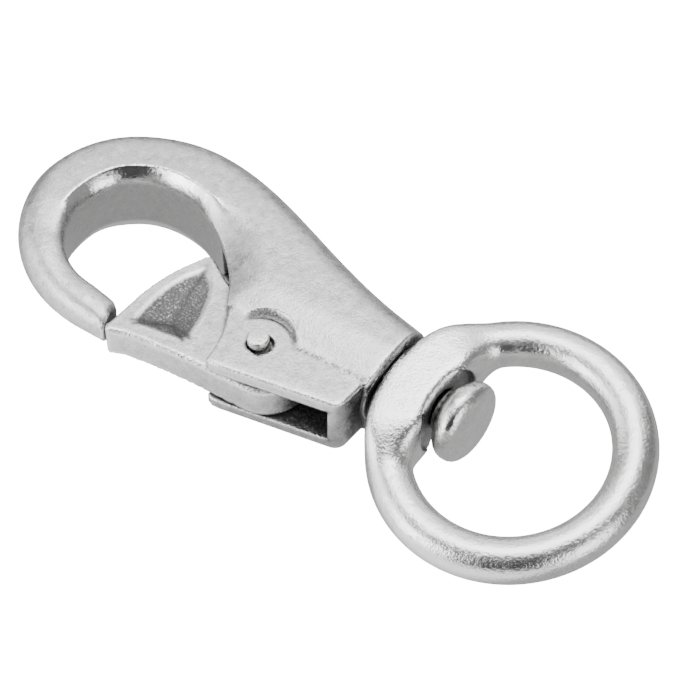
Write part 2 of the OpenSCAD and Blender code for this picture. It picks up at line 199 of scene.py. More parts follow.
def edge_points(piece, least_angle, convex, step=0.05 * MM):
    """Points along the piece's sharp edges that stand out, or that lie in corners."""
    mesh = bmesh.new()
    mesh.from_mesh(piece.data)
    found = []
    for edge in mesh.edges:
        if len(edge.link_faces) != 2:
            continue
        angle = edge.calc_face_angle_signed(0)
        if abs(angle) < math.radians(least_angle) or (angle > 0) != convex:
            continue
        start, end = edge.verts[0].co, edge.verts[1].co
        count = max(1, int((end - start).length / step))
        found.extend(start.lerp(end, i / count) for i in range(count + 1))
    mesh.free()
    return found


def nearness(piece, points, reach):
    """For each vertex, 1 on the nearest of the points, falling to 0 beyond the reach."""
    tree = kdtree.KDTree(len(points) + 1)
    for i, point in enumerate(points + [Vector((FAR_AWAY, FAR_AWAY, FAR_AWAY))]):
        tree.insert(point, i)
    tree.balance()
    away = np.array([tree.find(vertex.co)[2] for vertex in piece.data.vertices])
    return np.exp(-((away / reach) ** 2))


def read(collection, name, width, kind=np.float64):
    """A mesh collection's values as an array with one row per element."""
    values = np.empty(len(collection) * width, dtype=kind)
    collection.foreach_get(name, values)
    return values.reshape(-1, width)


def vertex_data(piece):
    """The place and the normal of each vertex."""
    place = read(piece.data.vertices, "co", 3)
    return place, read(piece.data.vertex_normals, "vector", 3)


def write_attribute(piece, name, values):
    """Stores one number per vertex for the materials to read."""
    attribute = piece.data.attributes.new(name, "FLOAT", "POINT")
    attribute.data.foreach_set("value", np.clip(values, 0, 1))


def drop_strays(mesh):
    """Deletes faces folded flat against each other, and faces that hang on by one edge."""
    sharing = {}
    for face in mesh.faces:
        sharing.setdefault(frozenset(face.verts), []).append(face)
    fins = [face for faces in sharing.values() if len(faces) > 1 for face in faces]
    bmesh.ops.delete(mesh, geom=fins, context="FACES")
    flaps = [face for face in mesh.faces if sum(edge.is_boundary for edge in face.edges) > 1]
    bmesh.ops.delete(mesh, geom=flaps, context="FACES")


def snap_to_edges(piece, points, reach):
    """Moves the skin's vertices that lie beside a sharp edge onto it, splits each face along
    the edge that now crosses it, and returns which vertices lie on edges."""
    tree = kdtree.KDTree(len(points))
    for i, point in enumerate(points):
        tree.insert(point, i)
    tree.balance()
    mesh = bmesh.new()
    mesh.from_mesh(piece.data)
    held = mesh.verts.layers.int.new("held")
    for vertex in mesh.verts:
        point, _, away = tree.find(vertex.co)
        if away < reach:
            vertex.co = point
            vertex[held] = 1
    bmesh.ops.dissolve_degenerate(mesh, edges=mesh.edges, dist=0.12 * reach)
    for face in list(mesh.faces):
        corners = list(face.verts)
        if len(corners) != 4:
            continue
        for pair in (corners[::2], corners[1::2]):
            if pair[0][held] and pair[1][held]:
                bmesh.utils.face_split(face, *pair)
                break
    bmesh.ops.triangulate(mesh, faces=mesh.faces)
    bmesh.ops.remove_doubles(mesh, verts=mesh.verts, dist=0.5 * WELD)
    drop_strays(mesh)
    mesh.to_mesh(piece.data)
    on_edge = np.array([vertex[held] for vertex in mesh.verts], dtype=bool)
    mesh.free()
    return on_edge


def pulls(first, second, values, to_first, to_second, count):
    """Sums, for each vertex, what its edges' values pull it by at either end."""
    forward = np.bincount(first, to_first * values, count)
    return forward - np.bincount(second, to_second * values, count)


def settle(piece, on_edge, rounds, edge_rounds):
    """Evens out each face of the skin between its edges, and each edge along its own line."""
    mesh = piece.data
    count = len(mesh.vertices)
    place = read(mesh.vertices, "co", 3)
    first, second = read(mesh.edges, "vertices", 2, np.int32).T
    to_first = np.where(on_edge[first] & ~on_edge[second], 0.0, 1.0)
    to_second = np.where(on_edge[second] & ~on_edge[first], 0.0, 1.0)
    total = np.bincount(first, to_first, count) + np.bincount(second, to_second, count)
    total = np.maximum(total, 1)
    along = place[second] - place[first]
    along /= np.maximum(np.linalg.norm(along, axis=1), 1e-9)[:, None]
    lean = [pulls(first, second, along[:, axis], to_first, to_second, count) for axis in range(3)]
    straight = np.linalg.norm(lean, axis=0) / total < CORNER_LEAN
    for turn in range(rounds):
        moving = SETTLE_SHARE * np.where(on_edge, straight & (turn < edge_rounds), 1.0) / total
        step = place[second] - place[first]
        for axis in range(3):
            pull = pulls(first, second, step[:, axis], to_first, to_second, count)
            place[:, axis] += moving * pull
    mesh.vertices.foreach_set("co", place.ravel())
    mesh.update()


def even_out(piece, values, rounds):
    """Averages values over neighbouring vertices."""
    count = len(values)
    first, second = read(piece.data.edges, "vertices", 2, np.int32).T
    near = np.bincount(first, None, count) + np.bincount(second, None, count)
    for _ in range(rounds):
        around = np.bincount(first, values[second], count)
        around += np.bincount(second, values[first], count)
        values = 0.5 * values + 0.5 * around / np.maximum(near, 1)
    return values


def smoothstep(value, low, high):
    """Runs smoothly from 0 at the low value to 1 at the high one."""
    t = np.clip((value - low) / (high - low), 0, 1)
    return t * t * (3 - 2 * t)


def sky_directions(count):
    """Directions spread over a hemisphere about +Z, denser towards its middle."""
    turn = math.pi * (3 - math.sqrt(5))
    found = []
    for i in range(count):
        up = math.sqrt(1 - (i + 0.5) / count)
        flat = math.sqrt(1 - up * up)
        found.append(Vector((flat * math.cos(turn * i), flat * math.sin(turn * i), up)))
    return found


def surface_tree(pieces):
    """A search tree over the faces of several pieces."""
    corners, faces = [], []
    for piece in pieces:
        start = len(corners)
        corners.extend(v.co for v in piece.data.vertices)
        faces.extend([start + i for i in p.vertices] for p in piece.data.polygons)
    return BVHTree.FromPolygons(corners, faces)


def seams(piece, others, reach):
    """For each vertex, 1 where it touches another piece, falling to 0 beyond the reach."""
    tree = surface_tree(others)
    found = (tree.find_nearest(vertex.co, 3 * reach)[3] for vertex in piece.data.vertices)
    away = np.array([FAR_AWAY if far is None else far for far in found])
    return np.exp(-((away / reach) ** 2))


def shut_in(piece, others):
    """How far each vertex is shut in by the walls round it, from 0 to 1."""
    tree = surface_tree([piece] + others)
    sky = sky_directions(SHADE_RAYS)
    values = []
    for vertex in piece.data.vertices:
        turn = vertex.normal.to_track_quat("Z", "Y")
        start = vertex.co + vertex.normal * SHADE_LIFT
        hits = (tree.ray_cast(start, turn @ way, SHADE_REACH)[3] for way in sky)
        shaded = (1 - 0.5 * far / SHADE_REACH for far in hits if far is not None)
        values.append(sum(shaded) / SHADE_RAYS)
    return even_out(piece, np.array(values), 3)


def cast_skin(node, name, cell, rounds, edge_angle, body):
    """A finely meshed skin over a CAD node: smooth where its faces run on, with small
    rounded edges, and with its edges, corners and hollows written down for the finish's wear,
    painted highlight and painted shade."""
    piece = merged_copy(node, name)
    ridges = edge_points(piece, edge_angle, True)
    creases = edge_points(piece, edge_angle, False)
    depth = math.ceil(math.log2(max(piece.dimensions) / (0.99 * cell)))
    scale = max(piece.dimensions) / (cell * 2**depth)
    grid = dict(mode="SHARP", octree_depth=depth, scale=scale, sharpness=1.0)
    apply_modifier(piece, "REMESH", use_remove_disconnected=False, **grid)
    on_edge = snap_to_edges(piece, ridges + creases, EDGE_CATCH * cell)
    settle(piece, on_edge, rounds, EDGE_ROUNDS)
    apply_modifier(piece, "SMOOTH", factor=SOFT_EDGE, iterations=1)
    others = [frame["nodes"][n] for n in frame["nodes"] if n != node]
    # painted shade at creases and where the piece touches another piece
    corner_shade = np.maximum(nearness(piece, creases, CORNER_REACH), seams(piece, others, SEAM_REACH))
    # lighter edges: partly rubbed wear, partly painted highlight
    write_attribute(piece, "ridge", nearness(piece, ridges, RIDGE_REACH))
    write_attribute(piece, "corner", corner_shade)
    # painted shade in hollows, by how far the walls round them shut them in
    write_attribute(piece, "shut_in", shut_in(piece, others))
    make_active(piece)
    bpy.ops.object.shade_smooth()
    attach(piece, body)
    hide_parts(node)
    return piece


def turned_skin(node, name, body, material):
    """A smooth-shaded copy of a turned or drawn CAD node, crisp only at its real edges."""
    piece = merged_copy(node, name)
    bpy.ops.object.shade_smooth_by_angle(angle=math.radians(TURNED_EDGE))
    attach(piece, body)
    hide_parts(node)
    dress(piece, material)


def mark_eye_bevel(piece):
    """Marks the polished bevel round the hook's eye, and the eye's wall below it for painted shade."""
    eye = next(m for m in frame["record"]["mounts"] if m["name"] == "hook_eye")["pos_m"]
    place, normal = vertex_data(piece)
    out = place[:, :2] - eye[:2]
    far = np.hypot(out[:, 0], out[:, 1])
    inward = -(normal[:, :2] * out).sum(axis=1) / far
    round_eye = np.degrees(np.arctan2(out[:, 1], out[:, 0])) % 360
    slope = np.abs(normal[:, 2])
    inside = 1 - smoothstep(far, *BEVEL_REACH)
    facing = smoothstep(inward, *EYE_FACING)
    polished = smoothstep(round_eye, *BEVEL_START) * (1 - smoothstep(round_eye, *BEVEL_STOP))
    tilted = smoothstep(slope, *BEVEL_STEEP) * (1 - smoothstep(slope, *BEVEL_LEVEL))
    write_attribute(piece, "bevel", inside * facing * polished * tilted)
    # painted shade: the eye's wall below the bevel is painted darker
    write_attribute(piece, "wall", inside * facing * (1 - smoothstep(slope, *WALL_STEEP)))


def sink(piece, height, depth):
    """Moves vertices in towards the mid-plane, each by its own depth in metres."""
    place = read(piece.data.vertices, "co", 3)
    place[:, 2] -= np.sign(height) * depth
    piece.data.vertices.foreach_set("co", place.ravel())
    piece.data.update()


def add_to_attribute(piece, name, more):
    """Adds to numbers already stored for each vertex, up to 1."""
    marks = piece.data.attributes[name].data
    known = read(marks, "value", 1)[:, 0]
    marks.foreach_set("value", np.clip(known + more, 0, 1))


def soft_line(off, width):
    """1 on a line, falling to almost 0 at twice the width away from it."""
    return np.exp(-((off / width) ** 2))


def spot_groove(far, turn):
    """Where the crescent groove lies, widening along its run, and where its two rims catch
    the light."""
    reach = smoothstep(turn, *GROOVE_START) * (1 - smoothstep(turn, *GROOVE_STOP))
    wider = GROOVE_WIDER + GROOVE_GAIN * smoothstep(turn, *GROOVE_SPREAD)
    inside = 1 - smoothstep(far - wider, *GROOVE_OUTER)
    band = smoothstep(far, *GROOVE_INNER) * inside
    rims = soft_line(far - wider - OUTER_RIM, OUTER_RIM_WIDTH)
    rims += soft_line(far - INNER_RIM, INNER_RIM_WIDTH)
    return reach * band, reach * rims


def parting_line(place, normal):
    """Where the rough, broken parting line lies on either face."""
    start, end = np.array(PARTING_ENDS)
    run = end - start
    share = np.clip(((place[:, :2] - start) @ run) / (run @ run), 0, 1)
    near = np.linalg.norm(place[:, :2] - start - share[:, None] * run, axis=1)
    patches = np.random.default_rng(PATCH_SEED).random(len(place))
    upright = np.abs(normal[:, 2]) > 0.5
    return soft_line(near, PARTING_WIDTH) * upright * smoothstep(patches, 0.25, 0.8)


def cut_spot_groove(piece):
    """Cuts the crescent groove where each spot face runs into the cheek's crown, and the
    rough parting line that leads from it to the neck; paints the groove's rims lighter as
    painted highlight and the groove darker as painted shade, and returns where the colour is
    darkened: painted shade in the groove, and the rough metal of the parting line."""
    joints = frame["record"]["behaviour"]["joints"]
    pin = next(joint for joint in joints if joint["name"] == "gate_hinge")["pos_m"]
    place, normal = vertex_data(piece)
    out = place[:, :2] - np.array(pin[:2]) - [SPOT_OFFSET, 0]
    far = np.hypot(out[:, 0], out[:, 1])
    turn = np.degrees(np.arctan2(out[:, 1], out[:, 0]))
    height = place[:, 2] - pin[2]
    level = np.abs(height)
    flat = (far > SPOT_BAND[0]) & (far < SPOT_BAND[1]) & (level > SPOT_HEIGHT)
    floor = np.median(level[flat & (normal[:, 2] > 0.9)]) - GROOVE_DEPTH
    face = level > floor - 0.5 * MM
    band, rims = spot_groove(far, turn)
    groove = band * face
    parting = parting_line(place, normal)
    sink(piece, height, groove * np.maximum(level - floor, 0) + PARTING_DEPTH * parting)
    # painted highlight on the groove's rims, and painted shade in the groove
    add_to_attribute(piece, "ridge", 0.9 * rims * face)
    add_to_attribute(piece, "corner", 0.45 * groove)
    return np.maximum(groove, 0.9 * parting)


def mark_recess(piece):
    """Marks the rough floor of the gate's finger recesses."""
    low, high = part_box("gate")
    middle, half = (low[2] + high[2]) / 2, (high[2] - low[2]) / 2
    place, normal = vertex_data(piece)
    depth = half - np.abs(place[:, 2] - middle)
    level = smoothstep(np.abs(normal[:, 2]), *RECESS_LEVEL)
    write_attribute(piece, "recess", smoothstep(depth, *RECESS_DEPTH) * level)


# ---- materials ----


class Nodes:
    """Adds and links the nodes of one tree."""

    def __init__(self, tree):
        self.tree = tree
        tree.nodes.clear()
        self.across = 0

    def add(self, kind, **values):
        """Adds a node, sets its properties, and sets or links its inputs."""
        node = self.tree.nodes.new(kind)
        self.across += 180
        node.location = (self.across, 0)
        inputs = values.pop("inputs", {})
        for key, value in values.items():
            setattr(node, key, value)
        for key, value in inputs.items():
            socket = node.inputs[key]
            if isinstance(value, bpy.types.NodeSocket):
                self.tree.links.new(value, socket)
            else:
                socket.default_value = value
        return node

    def math(self, operation, a, b=0.0, c=0.0, clamp=False):
        """Adds one sum or product and returns its result's socket."""
        node = self.add("ShaderNodeMath", operation=operation, use_clamp=clamp)
        for i, value in enumerate((a, b, c)):
            if isinstance(value, bpy.types.NodeSocket):
                self.tree.links.new(value, node.inputs[i])
            else:
                node.inputs[i].default_value = value
        return node.outputs[0]


def new_group(name, inputs, outputs):
    """Starts a node group whose inputs and outputs are all plain numbers."""
    group = bpy.data.node_groups.new(name, "ShaderNodeTree")
    nodes = Nodes(group)
    kind = "NodeSocketFloat"
    for label, default in inputs:
        socket = group.interface.new_socket(name=label, in_out="INPUT", socket_type=kind)
        socket.default_value = default
    for label in outputs:
        group.interface.new_socket(name=label, in_out="OUTPUT", socket_type=kind)
    return group, nodes, nodes.add("NodeGroupInput")


def ramp(nodes, value, start, end, first=0.0, last=1.0, kind="SMOOTHSTEP"):
    """Maps a value from one range onto another."""
    inputs = {
        "Value": value, "From Min": start, "From Max": end, "To Min": first, "To Max": last,
    }
    return nodes.add("ShaderNodeMapRange", interpolation_type=kind, inputs=inputs).outputs[0]


def noise(nodes, place, scale, detail, **more):
    """A noise pattern on a place, with its scale per metre."""
    inputs = {"Vector": place, "Scale": scale, "Detail": detail, **more}
    return nodes.add("ShaderNodeTexNoise", inputs=inputs).outputs[0]


def grain_group():
    """Blasted or tumbled metal: fine grain, a broader mottle and rare small pits."""
    if "Metal grain" in bpy.data.node_groups:
        return bpy.data.node_groups["Metal grain"]
    group, nodes, given = new_group(
        "Metal grain", [("Grain", 2600.0), ("Mottle", 260.0), ("Pits", 900.0)],
        ["Grain", "Mottle", "Pits"],
    )
    given = given.outputs
    place = nodes.add("ShaderNodeTexCoord").outputs["Object"]
    fine = noise(nodes, place, given["Grain"], 3.0, Roughness=0.6)
    broad = noise(nodes, place, given["Mottle"], 4.0, Roughness=0.55)
    cells = nodes.add(
        "ShaderNodeTexVoronoi",
        inputs={"Vector": place, "Scale": given["Pits"], "Randomness": 1.0},
    )
    rare = noise(nodes, place, given["Mottle"], 1.0)
    pit = ramp(nodes, cells.outputs["Distance"], 0.08, 0.22, 1.0, 0.0, "LINEAR")
    where = nodes.math("GREATER_THAN", rare, 0.6)
    fine = ramp(nodes, fine, 0.3, 0.7, kind="LINEAR")
    broad = ramp(nodes, broad, 0.3, 0.7, kind="LINEAR")
    out = nodes.add("NodeGroupOutput")
    group.links.new(fine, out.inputs["Grain"])
    group.links.new(broad, out.inputs["Mottle"])
    group.links.new(nodes.math("MULTIPLY", pit, where), out.inputs["Pits"])
    return group


def mark(nodes, name):
    """Reads one of the marks that a piece's vertices carry."""
    return nodes.add("ShaderNodeAttribute", attribute_name=name).outputs["Fac"]


def wear_and_light_group():
    """Masks for the colour: edges lighter as rubbed wear and painted highlight, painted shade in
    corners, seams and shut-in hollows, and the rough recess floors.
    """
    if "Worn metal and painted light" in bpy.data.node_groups:
        return bpy.data.node_groups["Worn metal and painted light"]
    group, nodes, given = new_group("Worn metal and painted light", [("Break up", 900.0)], ["Bright", "Corner shade", "Raw"])
    place = nodes.add("ShaderNodeTexCoord").outputs["Object"]
    broken = noise(nodes, place, given.outputs["Break up"], 3.0)
    uneven = nodes.math("ADD", nodes.math("MULTIPLY", broken, 0.9), 0.45)
    marks = {name: mark(nodes, name) for name in ("ridge", "corner", "shut_in", "recess")}
    # painted shade in hollows, by how far walls shut each vertex in
    shut = ramp(nodes, nodes.math("MULTIPLY", marks["shut_in"], uneven), 0.22, 0.55)
    speck = noise(nodes, place, SPECK_SCALE, 1.0)
    speckled = nodes.math("MULTIPLY_ADD", speck, 3.2, c=-0.5)
    rough_floor = nodes.math("MULTIPLY", marks["recess"], speckled)
    results = {
        # lighter edges (wear and painted highlight), painted shade in corners and seams, and painted
        # shade in hollows together with the rough recess floors
        "Bright": nodes.math("MULTIPLY", marks["ridge"], uneven, clamp=True),
        "Corner shade": nodes.math("MULTIPLY", marks["corner"], uneven, clamp=True),
        "Raw": nodes.math("ADD", shut, rough_floor, clamp=True),
    }
    out = nodes.add("NodeGroupOutput")
    for label, result in results.items():
        group.links.new(result, out.inputs[label])
    return group


def blend(nodes, share, first, second):
    """Mixes two colours, each a socket or a plain colour."""
    mix = nodes.add("ShaderNodeMix", data_type="RGBA")
    for socket, value in ((0, share), (6, first), (7, second)):
        if isinstance(value, bpy.types.NodeSocket):
            nodes.tree.links.new(value, mix.inputs[socket])
        else:
            mix.inputs[socket].default_value = value
    return mix.outputs[2]


def shade(colour, share):
    """A colour made darker or lighter."""
    return [min(1.0, c * share) for c in colour] + [1.0]


# scale of the specks on a rough recess floor, per metre
SPECK_SCALE = 4200.0

# roughness; scales of grain, mottle and pits (per metre); their depths (mm); how much the
# colour varies; gain of the lighter edges, partly rubbed wear and partly painted highlight;
# the colour's share where hollows get painted shade and recess floors stay rough, and the
# roughness there
FINISHES = {
    "blasted": dict(
        rough=0.32, grain=3700.0, mottle=800.0, pits=800.0, grain_mm=0.024, mottle_mm=0.034, pit_mm=0.03,
        patchy=0.34, edge=0.7, shade_and_raw=0.2, raw_rough=0.45,
    ),
    "tumbled": dict(
        rough=0.18, grain=3200.0, mottle=380.0, pits=500.0, grain_mm=0.028, mottle_mm=0.045, pit_mm=0.03,
        patchy=0.16, edge=0.5, shade_and_raw=0.35, raw_rough=0.35,
    ),
    "drawn": dict(
        rough=0.3, grain=3800.0, mottle=500.0, pits=900.0, grain_mm=0.004, mottle_mm=0.01, pit_mm=0.0,
        patchy=0.06, edge=0.0, shade_and_raw=0.8, raw_rough=0.4,
    ),
}


def metal(name, colour, finish):
    """Bare metal: its colour, gloss and relief follow the grain, the edges and the hollows; its colour
    also holds painted highlight on edges and painted shade in corners, seams, hollows and the eye's
    wall.
    """
    kind = FINISHES[finish]
    material = bpy.data.materials.new(name)
    material.use_nodes = True
    nodes = Nodes(material.node_tree)
    texture = nodes.add(
        "ShaderNodeGroup", node_tree=grain_group(),
        inputs={"Grain": kind["grain"], "Mottle": kind["mottle"], "Pits": kind["pits"]},
    ).outputs
    wear_and_light = nodes.add(
        "ShaderNodeGroup", node_tree=wear_and_light_group(), inputs={"Break up": kind["grain"] * 0.35}
    ).outputs
    bevel, wall = mark(nodes, "bevel"), mark(nodes, "wall")

    uneven = nodes.math("ADD", texture["Mottle"], texture["Grain"])
    patchy = nodes.math("MULTIPLY", uneven, 0.5)
    worn_and_highlit = nodes.math("MULTIPLY", wear_and_light["Bright"], kind["edge"], clamp=True)
    spread = kind["patchy"]
    tone = blend(nodes, patchy, shade(colour, 1 - spread), shade(colour, 1 + spread))
    # colour layers: painted shade in shut-in hollows, with the rough recess floors' own tone; painted
    # shade on the eye's wall; lighter edges, partly wear and partly painted highlight; the polished
    # bevel; painted shade in corners and seams; dark pits
    layers = (
        (nodes.math("MULTIPLY", wear_and_light["Raw"], 0.95), kind["shade_and_raw"]),
        (nodes.math("MULTIPLY", wall, 0.6), 0.85),
        (worn_and_highlit, 1.5),
        (bevel, 1.5),
        (nodes.math("MULTIPLY", wear_and_light["Corner shade"], 0.9), 0.14),
        (nodes.math("MULTIPLY", texture["Pits"], 0.4), 0.35),
    )
    for share, depth in layers:
        tone = blend(nodes, share, tone, shade(colour, depth))

    base = kind["rough"]
    rough = nodes.math("MULTIPLY_ADD", texture["Mottle"], 0.12, c=base - 0.06)
    for value, change in ((wear_and_light["Raw"], kind["raw_rough"] - base), (wear_and_light["Bright"], -0.4 * base)):
        rough = nodes.math("ADD", rough, nodes.math("MULTIPLY", value, change))
    rough = nodes.math("SUBTRACT", rough, nodes.math("MULTIPLY", bevel, 0.5 * base), clamp=True)

    rawer = nodes.math("MULTIPLY_ADD", wear_and_light["Raw"], 1.6, c=1.0)
    rawer = nodes.math("MULTIPLY", rawer, nodes.math("MULTIPLY_ADD", bevel, -0.5, c=1.0))
    relief = nodes.math("MULTIPLY", texture["Grain"], kind["grain_mm"])
    relief = nodes.math("MULTIPLY", relief, rawer)
    relief = nodes.math("ADD", relief, nodes.math("MULTIPLY", texture["Mottle"], kind["mottle_mm"]))
    relief = nodes.math("SUBTRACT", relief, nodes.math("MULTIPLY", texture["Pits"], kind["pit_mm"]))
    bump = nodes.add("ShaderNodeBump", inputs={"Strength": 1.0, "Distance": MM, "Height": relief})
    shader = nodes.add(
        "ShaderNodeBsdfPrincipled",
        inputs={
            "Base Color": tone, "Metallic": 1.0, "Roughness": rough,
            "Normal": bump.outputs["Normal"],
        },
    )
    out = nodes.add("ShaderNodeOutputMaterial")
    material.node_tree.links.new(shader.outputs[0], out.inputs["Surface"])
    return material


def dress(piece, material):
    """Gives a piece its one material."""
    piece.data.materials.clear()
    piece.data.materials.append(material)


# ---- studio ----


def softbox(name, azimuth, elevation, width, height, brightness):
    """A rectangular light seen from the hook in a given direction, its size given as angles."""
    scene = bpy.context.scene
    reach = scene.snap_hook_stage.light_distance
    centre = Vector(scene.snap_hook_stage.aim)
    away = direction(math.radians(azimuth), math.radians(elevation))
    light = bpy.data.lights.new(name, "AREA")
    light.shape = "RECTANGLE"
    light.size = 2 * reach * math.tan(math.radians(width) / 2)
    light.size_y = 2 * reach * math.tan(math.radians(height) / 2)
    light.energy = brightness * math.pi * light.size * light.size_y
    lamp = bpy.data.objects.new(name, light)
    scene.collection.objects.link(lamp)
    lamp.location = centre + away * reach
    lamp.rotation_mode = "QUATERNION"
    lamp.rotation_quaternion = (-away).to_track_quat("-Z", "Y")
    lamp.visible_camera = False


def direction(azimuth, elevation):
    """Unit vector at an azimuth from +X towards +Y and an elevation above the floor."""
    flat = math.cos(elevation)
    return Vector((math.cos(azimuth) * flat, math.sin(azimuth) * flat, math.sin(elevation)))


# the floor's width and its gap below the hook; the camera's sensor in millimetres and the
# nearest and furthest distance it sees
FLOOR_SIZE = 6.0
FLOOR_GAP = 0.02 * MM
SENSOR_WIDTH = 36.0
CLIP = (0.01, 20.0)

# the floor as the metal reflects it, with painted light: it fades to a share of its
# brightness between two distances from the origin, and it is brighter in front of the hook,
# with a smooth change between two Y values, as a painted pool of light beside the hook and
# painted shadow under it
FLOOR_FADE = (0.06, 0.18)
FLOOR_FAR = 0.5
FLOOR_FRONT = (-0.021, -0.014)
FRONT_GAIN = 3.4

# the room: brightness below and above; the dark card's azimuth and elevation in degrees, the
# cosines between which it falls off, and the share of the room's light it leaves; and the
# brightness of the backdrop that only the camera sees
ROOM_LOW, ROOM_HIGH = 0.32, 0.6
CARD_WAY = (-52, 28)
CARD_EDGE = (0.78, 0.93)
CARD_SHARE = 0.22
BACKDROP = 20.0

# the studio's softboxes: name, azimuth, elevation, width, height (degrees), brightness
SOFTBOXES = (
    ("Gate side strip", -118, 16, 28, 40, 8.0),
    ("Gate side fill", -155, 18, 34, 50, 3.2),
    ("Ring end strip", -12, 16, 30, 38, 4.6),
    ("Back box", 122, 34, 76, 40, 1.65),
    ("Overhead box", 140, 78, 50, 36, 6.6),
)


def floor_material(colour, glow, reflected):
    """Pale paper that glows for the camera and is dimmer in the metal's reflections, where it carries a
    painted pool of light in front of the hook and painted shadow under it.
    """
    material = bpy.data.materials.new("Studio floor")
    material.use_nodes = True
    nodes = Nodes(material.node_tree)
    grain = nodes.add("ShaderNodeTexNoise", inputs={"Scale": 400.0, "Detail": 2.0})
    paper = nodes.add("ShaderNodeBump", inputs={"Strength": 0.05, "Height": grain.outputs[0]})
    shown = {"Color": (*colour, 1.0), "Normal": paper.outputs[0]}
    lit = nodes.add("ShaderNodeBsdfDiffuse", inputs=shown)
    bright = nodes.add("ShaderNodeEmission", inputs={"Strength": glow})
    seen = nodes.add("ShaderNodeAddShader")
    material.node_tree.links.new(lit.outputs[0], seen.inputs[0])
    material.node_tree.links.new(bright.outputs[0], seen.inputs[1])
    place = nodes.add("ShaderNodeTexCoord").outputs["Object"]
    far = nodes.add("ShaderNodeVectorMath", operation="LENGTH", inputs={0: place})
    # painted light in the floor's reflection: a pool of light in front of the hook, painted shadow under
    # it
    pool = ramp(nodes, far.outputs["Value"], *FLOOR_FADE, reflected, reflected * FLOOR_FAR)
    side = nodes.add("ShaderNodeSeparateXYZ", inputs={"Vector": place})
    front = ramp(nodes, side.outputs["Y"], *FLOOR_FRONT, FRONT_GAIN, 1.0)
    pool = nodes.math("MULTIPLY", pool, front)
    soft = nodes.add("ShaderNodeEmission", inputs={"Strength": pool})
    way = nodes.add("ShaderNodeLightPath")
    mix = nodes.add("ShaderNodeMixShader", inputs={0: way.outputs["Is Camera Ray"]})
    material.node_tree.links.new(soft.outputs[0], mix.inputs[1])
    material.node_tree.links.new(seen.outputs[0], mix.inputs[2])
    out = nodes.add("ShaderNodeOutputMaterial")
    material.node_tree.links.new(mix.outputs[0], out.inputs["Surface"])
    return material


def studio_world():
    """A dim room, brighter towards the ceiling and darker at the card, which looks white to
    the camera."""
    world = bpy.data.worlds.new("Studio")
    world.use_nodes = True
    nodes = Nodes(world.node_tree)
    way = nodes.add("ShaderNodeTexCoord").outputs["Generated"]
    split = nodes.add("ShaderNodeSeparateXYZ", inputs={"Vector": way})
    room = ramp(nodes, split.outputs["Z"], 0.0, 1.0, ROOM_LOW, ROOM_HIGH, "LINEAR")
    card = direction(*(math.radians(angle) for angle in CARD_WAY))
    corner = nodes.add("ShaderNodeVectorMath", operation="DOT_PRODUCT", inputs={0: way, 1: card})
    unlit = ramp(nodes, corner.outputs["Value"], *CARD_EDGE, 1.0, CARD_SHARE)
    path = nodes.add("ShaderNodeLightPath").outputs["Is Camera Ray"]
    dim = nodes.math("MULTIPLY", room, unlit)
    dim = nodes.math("MULTIPLY", dim, nodes.math("SUBTRACT", 1.0, path))
    strength = nodes.math("ADD", dim, nodes.math("MULTIPLY", path, BACKDROP))
    back = nodes.add("ShaderNodeBackground", inputs={"Strength": strength})
    out = nodes.add("ShaderNodeOutputWorld")
    world.node_tree.links.new(back.outputs[0], out.inputs["Surface"])
    return world


# ---- settings ----


class SnapHookSizes(PropertyGroup):
    skin_mesh: FloatProperty(
        name="Skin mesh", description="Spacing of the casting's skin mesh",
        default=0.225 * MM, min=0.1 * MM, unit="LENGTH",
    )
    gate_mesh: FloatProperty(
        name="Gate mesh", description="Spacing of the gate's skin mesh",
        default=0.15 * MM, min=0.1 * MM, unit="LENGTH",
    )
    ring_mesh: FloatProperty(
        name="Ring mesh", description="Spacing of the ring's skin mesh",
        default=0.18 * MM, min=0.1 * MM, unit="LENGTH",
    )
    pin_rim: FloatProperty(
        name="Pin rim", description="Rounding of the hinge pin's rims",
        default=0.22 * MM, min=0.01 * MM, unit="LENGTH",
    )
    skin_soft: IntProperty(
        name="Skin softness", description="How often the skin is evened out",
        default=25, min=0, max=80,
    )


class SnapHookFinish(PropertyGroup):
    satin: FloatVectorProperty(
        name="Casting colour", description="Colour of the blasted casting",
        subtype="COLOR", default=(0.5, 0.5, 0.497), min=0, max=1,
    )
    bright: FloatVectorProperty(
        name="Ring colour", description="Colour of the tumbled ring and stud",
        subtype="COLOR", default=(0.66, 0.66, 0.655), min=0, max=1,
    )
    wire: FloatVectorProperty(
        name="Spring colour", description="Colour of the spring wire",
        subtype="COLOR", default=(0.5, 0.5, 0.5), min=0, max=1,
    )


class SnapHookStage(PropertyGroup):
    floor: FloatVectorProperty(
        name="Floor colour", description="Colour of the studio floor",
        subtype="COLOR", default=(0.93, 0.93, 0.93), min=0, max=1,
    )
    glow: FloatProperty(
        name="Floor glow", description="Brightness of the floor's own light for the eye",
        default=18.0, min=0,
    )
    reflected: FloatProperty(
        name="Floor in reflections", description="Brightness of the floor in the metal",
        default=0.66, min=0,
    )
    light_distance: FloatProperty(
        name="Light distance", description="Distance of the softboxes from the hook",
        default=0.9, min=0.3, unit="LENGTH",
    )
    azimuth: FloatProperty(
        name="Camera azimuth", description="Turn of the camera about the hook, from its gate side",
        default=math.radians(38.3), subtype="ANGLE",
    )
    elevation: FloatProperty(
        name="Camera elevation", description="Height of the camera above the floor",
        default=math.radians(49), subtype="ANGLE",
    )
    distance: FloatProperty(
        name="Camera distance", description="Distance from the camera to its aim",
        default=291.2 * MM, min=0.05, unit="LENGTH",
    )
    lens: FloatProperty(
        name="Camera lens", description="Focal length in millimetres",
        default=127.06, min=20, max=300,
    )
    aim: FloatVectorProperty(
        name="Camera aim", description="Point the camera looks at",
        default=(5.63 * MM, 0.9 * MM, 5.7 * MM), subtype="XYZ", unit="LENGTH",
    )


# ---- operators ----


